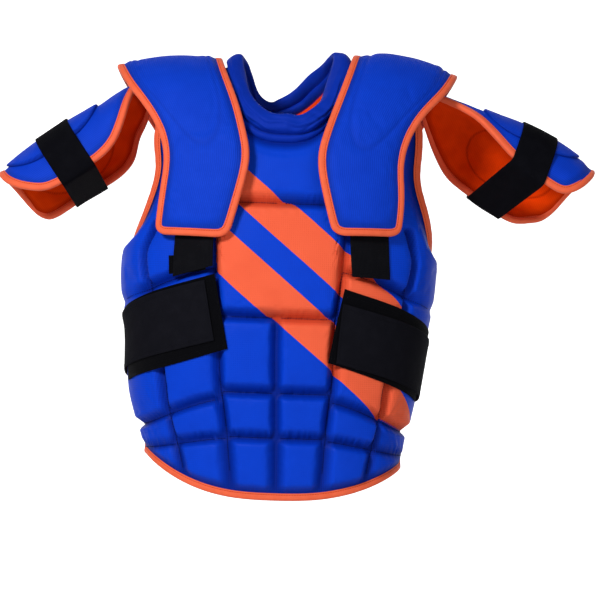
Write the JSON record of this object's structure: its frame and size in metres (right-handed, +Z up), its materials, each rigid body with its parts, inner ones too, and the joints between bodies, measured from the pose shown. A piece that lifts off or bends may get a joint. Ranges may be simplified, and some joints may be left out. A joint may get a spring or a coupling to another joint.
{
  "type": "chest and shoulder protector",
  "caption": "Padded goalkeeper's body armour: tiled chest panel, plain back, soft collar, domed shoulder caps and open upper-arm shells held by elastic straps.",
  "frame": {"origin": "middle line between the shoulders, level with the shoulder line that the protector sits on", "axes": "+X to the wearer's left, -Y the way the chest faces, +Z up"},
  "size_m": [0.7655, 0.2563, 0.5672],
  "materials": {
    "blue_nylon": "smooth moulded nylon over foam, blue with orange bands",
    "blue_knit": "fine ribbed knit over foam, matt",
    "collar_knit": "soft plain knit, matt dark blue",
    "orange_tape": "woven edge tape, stitched",
    "orange_lining": "brushed mesh lining",
    "black_webbing": "woven webbing, matt",
    "black_loop": "loop pile patch, stitched",
    "black_elastic": "ribbed elastic, matt"
  },
  "bodies": {
    "root": {"front_panel": "blue_nylon", "front_binding": "orange_tape", "back_panel": "blue_nylon", "back_binding": "orange_tape", "back_lining": "orange_lining", "collar": "collar_knit", "shoulder_cap_left": "blue_knit", "cap_binding_left": "orange_tape", "shoulder_strap_left": "black_webbing", "waist_patch_left": "black_loop", "waist_strap_left": "black_elastic", "arm_guard_left": "blue_knit", "arm_binding_left": "orange_tape", "arm_lining_left": "orange_lining", "arm_plate_left": "blue_knit", "arm_strap_left": "black_elastic", "arm_link_left": "black_webbing", "shoulder_cap_right": "blue_knit", "cap_binding_right": "orange_tape", "shoulder_strap_right": "black_webbing", "shoulder_patch_right": "black_loop", "waist_patch_right": "black_loop", "waist_strap_right": "black_elastic", "arm_guard_right": "blue_knit", "arm_binding_right": "orange_tape", "arm_lining_right": "orange_lining", "arm_plate_right": "blue_knit", "arm_strap_right": "black_elastic", "arm_link_right": "black_webbing"}
  },
  "joints": []
}
